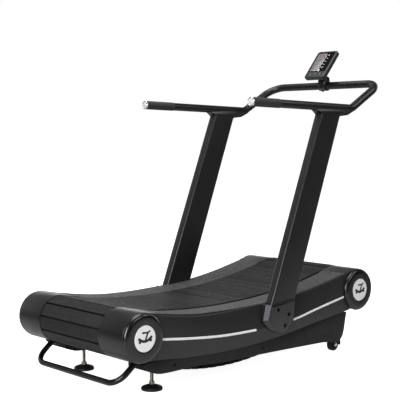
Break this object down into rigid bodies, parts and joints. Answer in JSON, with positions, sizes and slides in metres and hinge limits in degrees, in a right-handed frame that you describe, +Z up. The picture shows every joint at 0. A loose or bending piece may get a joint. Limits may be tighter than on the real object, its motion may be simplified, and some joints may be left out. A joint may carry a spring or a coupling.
{
  "type": "curved manual treadmill",
  "caption": "Self-powered curved running machine: slatted belt over a concave track in a covered frame, leaning posts, U-shaped handrail and small tilting console.",
  "frame": {"origin": "on the floor, below the middle of the whole machine: middle of its length and of its width", "axes": "+X the runner's forward direction, +Y the runner's left, +Z up"},
  "size_m": [1.8346, 0.85, 1.6347],
  "materials": {
    "frame_black": "satin powder coat",
    "post_black": "satin powder coat",
    "shoe": "satin",
    "cover": "fine-grained moulded plastic",
    "cap": "semi-gloss",
    "white": "satin",
    "slat": "fine ribbed",
    "rubber_black": "matt",
    "zinc": "zinc plated",
    "axle": "turned",
    "drum": "turned",
    "bearing": "painted",
    "chrome": "polished",
    "screen": "LCD window",
    "button": "matt"
  },
  "bodies": {
    "root": {"console_clamp": "shoe", "front_crossmember": "frame_black", "front_left_accent_stripe": "white", "front_left_badge": "white", "front_left_bearing": "bearing", "front_left_drum_cover": "cover", "front_left_end_cap": "cap", "front_right_accent_stripe": "white", "front_right_badge": "white", "front_right_bearing": "bearing", "front_right_drum_cover": "cover", "front_right_end_cap": "cap", "handlebar": "post_black", "left_bearing_rail": "bearing", "left_grip": "rubber_black", "left_grip_end_cap": "chrome", "left_side_cover": "cover", "left_side_frame": "frame_black", "left_upright": "post_black", "left_upright_bolts": "zinc", "left_upright_bracket": "shoe", "left_wheel_bracket": "zinc", "lift_bar": "frame_black", "middle_crossmember": "frame_black", "rear_crossmember": "frame_black", "rear_left_accent_stripe": "white", "rear_left_badge": "white", "rear_left_bearing": "bearing", "rear_left_drum_cover": "cover", "rear_left_end_cap": "cap", "rear_right_accent_stripe": "white", "rear_right_badge": "white", "rear_right_bearing": "bearing", "rear_right_drum_cover": "cover", "rear_right_end_cap": "cap", "right_bearing_rail": "bearing", "right_grip": "rubber_black", "right_grip_end_cap": "chrome", "right_side_cover": "cover", "right_side_frame": "frame_black", "right_upright": "post_black", "right_upright_bolts": "zinc", "right_upright_bracket": "shoe", "right_wheel_bracket": "zinc", "slat_belt": "slat"},
    "front_roller": {"front_drum": "drum", "front_axle": "axle"},
    "rear_roller": {"rear_drum": "drum", "rear_axle": "axle"},
    "left_foot": {"left_foot_stem": "zinc", "left_foot_pad": "rubber_black"},
    "right_foot": {"right_foot_stem": "zinc", "right_foot_pad": "rubber_black"},
    "left_wheel": {"left_transport_wheel": "rubber_black"},
    "right_wheel": {"right_transport_wheel": "rubber_black"},
    "console": {"console_housing": "cover", "console_screen": "screen"},
    "left_button": {"left_console_button": "button"},
    "middle_button": {"middle_console_button": "button"},
    "right_button": {"right_console_button": "button"}
  },
  "joints": [
    {"name": "front_roller_spin", "type": "hinge", "parent": "root", "child": "front_roller", "pos_m": [0.6741, 0, 0.337], "axis": [0, 1, 0], "continuous": true},
    {"name": "rear_roller_spin", "type": "hinge", "parent": "root", "child": "rear_roller", "pos_m": [-0.8059, 0, 0.283], "axis": [0, 1, 0], "continuous": true},
    {"name": "left_wheel_spin", "type": "hinge", "parent": "root", "child": "left_wheel", "pos_m": [0.5981, 0.3, 0.035], "axis": [0, 1, 0], "continuous": true},
    {"name": "right_wheel_spin", "type": "hinge", "parent": "root", "child": "right_wheel", "pos_m": [0.5981, -0.3, 0.035], "axis": [0, 1, 0], "continuous": true},
    {"name": "left_foot_height", "type": "slide", "parent": "root", "child": "left_foot", "axis": [0, 0, -1], "range_m": [-0.015, 0.02]},
    {"name": "right_foot_height", "type": "slide", "parent": "root", "child": "right_foot", "axis": [0, 0, -1], "range_m": [-0.015, 0.02]},
    {"name": "console_tilt", "type": "hinge", "parent": "root", "child": "console", "pos_m": [0.84948, 0, 1.51236], "axis": [0, 1, 0], "range_deg": [-12, 12]},
    {"name": "left_button_press", "type": "slide", "parent": "console", "child": "left_button", "axis": [0.766, 0, -0.6428], "range_m": [0, 0.0015], "stiffness_N_per_m": 400},
    {"name": "middle_button_press", "type": "slide", "parent": "console", "child": "middle_button", "axis": [0.766, 0, -0.6428], "range_m": [0, 0.0015], "stiffness_N_per_m": 400},
    {"name": "right_button_press", "type": "slide", "parent": "console", "child": "right_button", "axis": [0.766, 0, -0.6428], "range_m": [0, 0.0015], "stiffness_N_per_m": 400}
  ],
  "couplings": [
    {"joint": "rear_roller_spin", "follows": "front_roller_spin", "ratio": 1}
  ]
}
